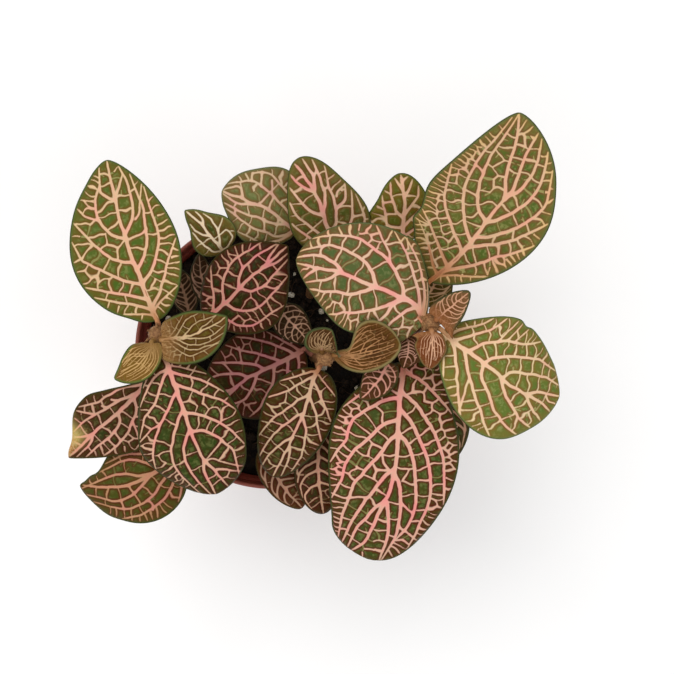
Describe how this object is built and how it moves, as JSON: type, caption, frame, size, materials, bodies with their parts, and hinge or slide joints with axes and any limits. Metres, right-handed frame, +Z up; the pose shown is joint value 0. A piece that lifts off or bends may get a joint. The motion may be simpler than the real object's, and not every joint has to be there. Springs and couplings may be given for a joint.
{
  "type": "potted nerve plant",
  "caption": "Low, spreading nerve plant with rounded, net-veined leaves on short stems, growing in a small round tapered plastic nursery pot.",
  "frame": {"origin": "centre of the pot's flat underside, on the surface the pot stands on", "axes": "+Z up along the pot's axis, +X towards the taller leaning stem, +Y towards the rear leaves"},
  "size_m": [0.1443, 0.1263, 0.1193],
  "materials": {
    "pot": "thin moulded plastic, satin",
    "potting_mix": "damp dark peat with perlite",
    "stem": "soft, finely hairy",
    "leaf_mature": "satin leaf, green with pink net veins",
    "leaf_shaded": "satin leaf, dark green with rose net veins",
    "leaf_young": "soft young leaf, bronze with cream veins"
  },
  "bodies": {
    "root": {"pot": "pot", "potting_mix": "potting_mix", "stem_left": "stem", "stem_right": "stem", "stem_centre": "stem", "stem_front": "stem", "stem_front_left": "stem", "stem_rear": "stem", "stem_rear_left": "stem", "stem_rear_right": "stem", "leaf_left_rear": "leaf_mature", "leaf_left_front": "leaf_mature", "leaf_left_young_inner": "leaf_young", "leaf_left_young_outer": "leaf_young", "leaf_left_low_outer": "leaf_shaded", "leaf_left_low_inner": "leaf_shaded", "leaf_left_base": "leaf_shaded", "leaf_right_inner": "leaf_mature", "leaf_right_outer": "leaf_mature", "leaf_right_rear": "leaf_mature", "leaf_right_front": "leaf_mature", "leaf_right_young_rear": "leaf_young", "leaf_right_young_front": "leaf_young", "leaf_right_low_rear": "leaf_shaded", "leaf_right_low_front": "leaf_shaded", "leaf_right_bud_left": "leaf_young", "leaf_right_bud_right": "leaf_young", "leaf_centre_front": "leaf_mature", "leaf_centre_young_right": "leaf_young", "leaf_centre_young_left": "leaf_young", "leaf_centre_low_left": "leaf_shaded", "leaf_centre_low_front": "leaf_shaded", "leaf_front": "leaf_shaded", "leaf_front_left": "leaf_mature", "leaf_rear_left": "leaf_mature", "leaf_rear_middle": "leaf_mature", "leaf_rear_right": "leaf_mature", "leaf_rear_small": "leaf_young", "leaf_rear_inner": "leaf_shaded", "leaf_rear_low": "leaf_shaded"}
  },
  "joints": []
}
